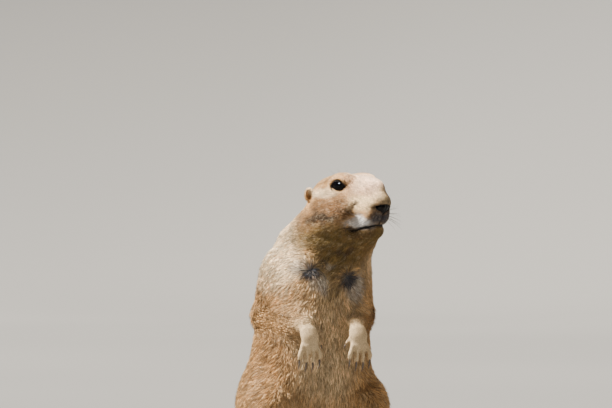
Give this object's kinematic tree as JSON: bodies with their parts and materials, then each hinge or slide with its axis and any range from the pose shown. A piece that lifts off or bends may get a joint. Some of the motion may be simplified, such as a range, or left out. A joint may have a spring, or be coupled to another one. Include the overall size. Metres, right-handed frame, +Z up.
{
  "type": "prairie dog figure",
  "caption": "Life-size still model of a prairie dog sitting upright on its haunches, head turned to its left, forepaws hanging in front of the belly and tail laid back on the floor.",
  "frame": {"origin": "centre of the box's base, on the floor that the animal sits on", "axes": "+Z up, -Y the way the body faces, +X the animal's left"},
  "size_m": [0.1186, 0.2354, 0.239],
  "materials": {
    "coat": "short dense fur",
    "tail_tip": "black brush of longer fur",
    "nose": "bare leathery skin",
    "eye": "wet and glossy",
    "claw": "horn"
  },
  "bodies": {
    "root": {"ear_left": "coat", "ear_right": "coat", "eye_left": "eye", "eye_right": "eye", "fore_claw_left_1": "claw", "fore_claw_left_2": "claw", "fore_claw_left_3": "claw", "fore_claw_left_4": "claw", "fore_claw_left_5": "claw", "fore_claw_right_1": "claw", "fore_claw_right_2": "claw", "fore_claw_right_3": "claw", "fore_claw_right_4": "claw", "fore_claw_right_5": "claw", "forearm_left": "coat", "forearm_right": "coat", "forepaw_left": "coat", "forepaw_right": "coat", "head": "coat", "hind_claw_left_1": "claw", "hind_claw_left_2": "claw", "hind_claw_left_3": "claw", "hind_claw_left_4": "claw", "hind_claw_left_5": "claw", "hind_claw_right_1": "claw", "hind_claw_right_2": "claw", "hind_claw_right_3": "claw", "hind_claw_right_4": "claw", "hind_claw_right_5": "claw", "hind_foot_left": "coat", "hind_foot_right": "coat", "neck": "coat", "nose": "nose", "tail": "coat", "tail_tip": "tail_tip", "thigh_left": "coat", "thigh_right": "coat", "torso": "coat", "upper_arm_left": "coat", "upper_arm_right": "coat"}
  },
  "joints": []
}
